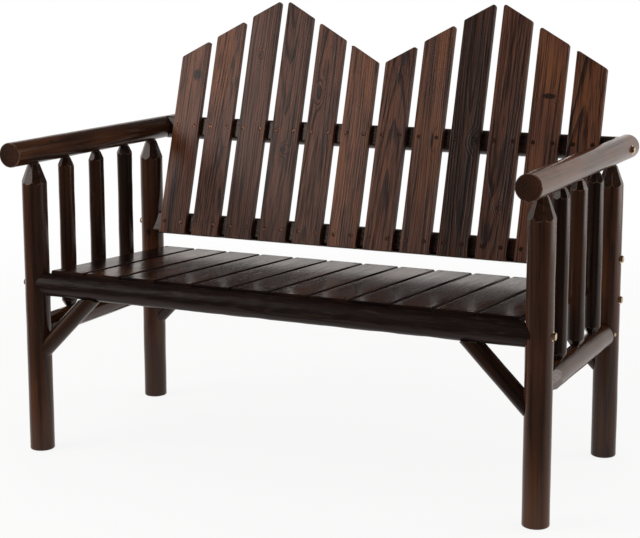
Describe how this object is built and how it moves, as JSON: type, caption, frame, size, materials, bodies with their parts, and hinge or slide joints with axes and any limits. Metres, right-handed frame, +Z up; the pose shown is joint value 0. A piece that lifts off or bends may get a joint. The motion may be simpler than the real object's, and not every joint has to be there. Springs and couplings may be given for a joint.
{
  "type": "rustic log bench",
  "caption": "Garden bench of round stained logs with a slatted seat, log arms over spindles, and a reclined slatted back that rises to two peaks.",
  "frame": {"origin": "on the ground, under the middle of the bench's outer box", "axes": "+X along the bench to the sitter's left, +Y from the front to the back, +Z up"},
  "size_m": [1.2674, 0.7468, 1.0203],
  "materials": {
    "logs": "dark brown stain under satin varnish, with knots and whittled facets",
    "seat_boards": "very dark brown stain under satin varnish",
    "back_boards": "reddish brown stain with dark streaks under satin varnish",
    "dowel_wood": "bare",
    "plated_bolts": "pale brass plating, satin",
    "screws": "dark bronze plating, satin"
  },
  "bodies": {
    "root": {"arm_left": "logs", "arm_right": "logs", "back_rail_lower": "logs", "back_rail_upper": "logs", "back_slat_01": "back_boards", "back_slat_02": "back_boards", "back_slat_03": "back_boards", "back_slat_04": "back_boards", "back_slat_05": "back_boards", "back_slat_06": "back_boards", "back_slat_07": "back_boards", "back_slat_08": "back_boards", "back_slat_09": "back_boards", "back_slat_10": "back_boards", "back_slat_11": "back_boards", "back_slat_12": "back_boards", "back_slat_screws": "screws", "brace_dowels": "dowel_wood", "brace_front_left": "logs", "brace_front_right": "logs", "brace_rear_left": "logs", "brace_rear_right": "logs", "leg_front_left": "logs", "leg_front_right": "logs", "leg_rear_left": "logs", "leg_rear_right": "logs", "rail_bolt_washers": "plated_bolts", "rail_bolts": "plated_bolts", "seat_rail_front": "logs", "seat_rail_rear": "logs", "seat_slat_01": "seat_boards", "seat_slat_02": "seat_boards", "seat_slat_03": "seat_boards", "seat_slat_04": "seat_boards", "seat_slat_05": "seat_boards", "seat_slat_06": "seat_boards", "seat_slat_07": "seat_boards", "seat_slat_08": "seat_boards", "seat_slat_09": "seat_boards", "seat_slat_10": "seat_boards", "seat_slat_11": "seat_boards", "seat_slat_12": "seat_boards", "seat_slat_screws": "screws", "side_rail_left": "logs", "side_rail_pins": "screws", "side_rail_right": "logs", "spindle_left_1": "logs", "spindle_left_2": "logs", "spindle_left_3": "logs", "spindle_right_1": "logs", "spindle_right_2": "logs", "spindle_right_3": "logs"}
  },
  "joints": []
}
